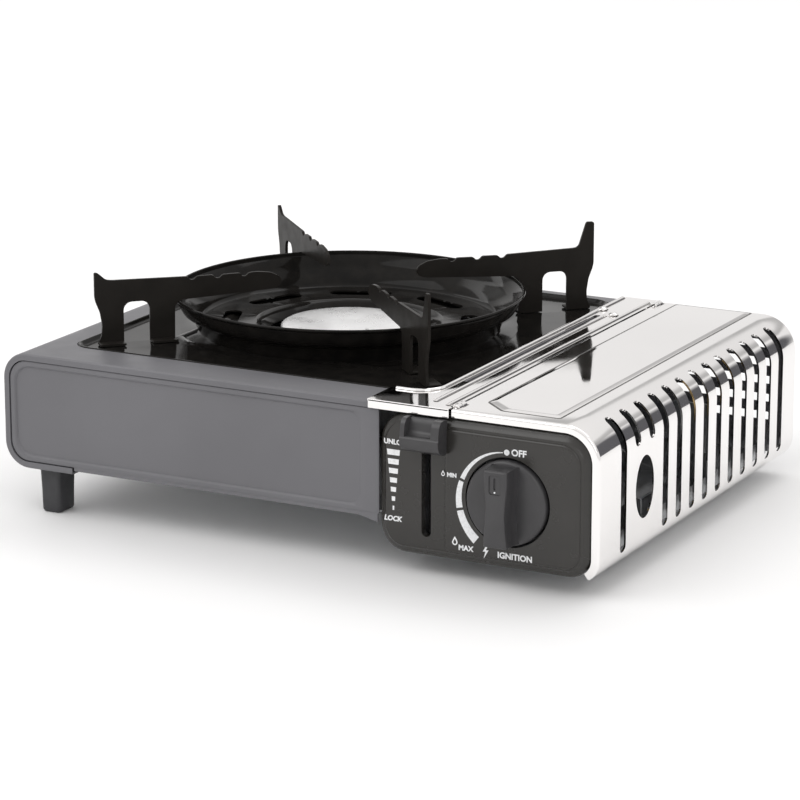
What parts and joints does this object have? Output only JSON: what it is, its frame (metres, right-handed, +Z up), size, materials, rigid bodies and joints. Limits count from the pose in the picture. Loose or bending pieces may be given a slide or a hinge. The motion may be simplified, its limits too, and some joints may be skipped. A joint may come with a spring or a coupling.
{
  "type": "camping stove",
  "caption": "Portable gas stove with a round burner in a grey sheet-metal body, black pan supports and bowl, a louvred chrome lid over the cartridge bay, a turning knob and a lock lever.",
  "frame": {"origin": "centre of the bounding box on the table, under the feet", "axes": "+X towards the cartridge bay, -Y towards the front with the knob, +Z up"},
  "size_m": [0.34, 0.2718, 0.1327],
  "materials": {
    "base_pan": "galvanised sheet",
    "body_shell": "satin grey paint",
    "burner_body": "die cast",
    "burner_bracket": "galvanised sheet",
    "burner_cap": "bright pressed",
    "cartridge_collar": "machined",
    "cartridge_lid": "bright plated steel",
    "cartridge_pusher": "galvanised sheet",
    "control_knob": "black satin moulding",
    "control_panel": "black gloss moulding",
    "cradle_rail_front": "galvanised sheet",
    "cradle_rail_rear": "galvanised sheet",
    "drip_tray": "black enamel",
    "electrode_holder": "galvanised sheet",
    "electrode_insulator": "glazed ceramic",
    "electrode_wire": "black insulated wire",
    "foot_front_left": "matt black",
    "foot_front_right": "matt black",
    "foot_rear_left": "matt black",
    "foot_rear_right": "matt black",
    "front_panel": "satin grey paint",
    "gas_jet": "machined",
    "heat_conductor": "sheet",
    "hinge_pin_front": "bright plated steel",
    "hinge_pin_rear": "bright plated steel",
    "ignition_electrode": "bare",
    "knob_shaft": "cast",
    "lock_lever": "black satin moulding",
    "mixing_tube": "galvanised sheet",
    "pan_support_front_left": "black enamel",
    "pan_support_front_right": "black enamel",
    "pan_support_rear_left": "black enamel",
    "pan_support_rear_right": "black enamel",
    "partition": "galvanised sheet",
    "piezo_igniter": "black moulding",
    "plate_screw_1": "bright plated steel",
    "plate_screw_2": "bright plated steel",
    "rear_panel": "satin grey paint",
    "regulator_body": "die cast",
    "top_plate": "bright plated steel",
    "valve_bracket": "galvanised sheet",
    "wind_ring": "black enamel"
  },
  "bodies": {
    "stove": {"base_pan": "base_pan", "body_shell": "body_shell", "burner_body": "burner_body", "burner_bracket": "burner_bracket", "burner_cap": "burner_cap", "cartridge_collar": "cartridge_collar", "control_panel": "control_panel", "cradle_rail_front": "cradle_rail_front", "cradle_rail_rear": "cradle_rail_rear", "electrode_holder": "electrode_holder", "electrode_insulator": "electrode_insulator", "electrode_wire": "electrode_wire", "foot_front_left": "foot_front_left", "foot_front_right": "foot_front_right", "foot_rear_left": "foot_rear_left", "foot_rear_right": "foot_rear_right", "front_panel": "front_panel", "gas_jet": "gas_jet", "heat_conductor": "heat_conductor", "hinge_pin_front": "hinge_pin_front", "hinge_pin_rear": "hinge_pin_rear", "ignition_electrode": "ignition_electrode", "mixing_tube": "mixing_tube", "partition": "partition", "piezo_igniter": "piezo_igniter", "plate_screw_1": "plate_screw_1", "plate_screw_2": "plate_screw_2", "rear_panel": "rear_panel", "regulator_body": "regulator_body", "top_plate": "top_plate", "valve_bracket": "valve_bracket"},
    "tray": {"drip_tray": "drip_tray", "wind_ring": "wind_ring", "pan_support_rear_right": "pan_support_rear_right", "pan_support_rear_left": "pan_support_rear_left", "pan_support_front_left": "pan_support_front_left", "pan_support_front_right": "pan_support_front_right"},
    "lid": {"cartridge_lid": "cartridge_lid"},
    "knob": {"control_knob": "control_knob", "knob_shaft": "knob_shaft"},
    "lever": {"lock_lever": "lock_lever"},
    "pusher": {"cartridge_pusher": "cartridge_pusher"}
  },
  "joints": [
    {"name": "tray_lift", "type": "slide", "parent": "stove", "child": "tray", "axis": [0, 0, 1], "range_m": [0, 0.08]},
    {"name": "lid_hinge", "type": "hinge", "parent": "stove", "child": "lid", "pos_m": [0.0913, 0, 0.0865], "axis": [0, -1, 0], "range_deg": [0, 100]},
    {"name": "knob_turn", "type": "hinge", "parent": "stove", "child": "knob", "pos_m": [0.1217, -0.1201, 0.0444], "axis": [0, -1, 0], "range_deg": [0, 165]},
    {"name": "lever_slide", "type": "slide", "parent": "stove", "child": "lever", "axis": [0, 0, -1], "range_m": [0, 0.035]},
    {"name": "pusher_slide", "type": "slide", "parent": "stove", "child": "pusher", "axis": [0, -1, 0], "range_m": [0, 0.009]}
  ],
  "couplings": [
    {"joint": "pusher_slide", "follows": "lever_slide", "ratio": 0.2571}
  ]
}
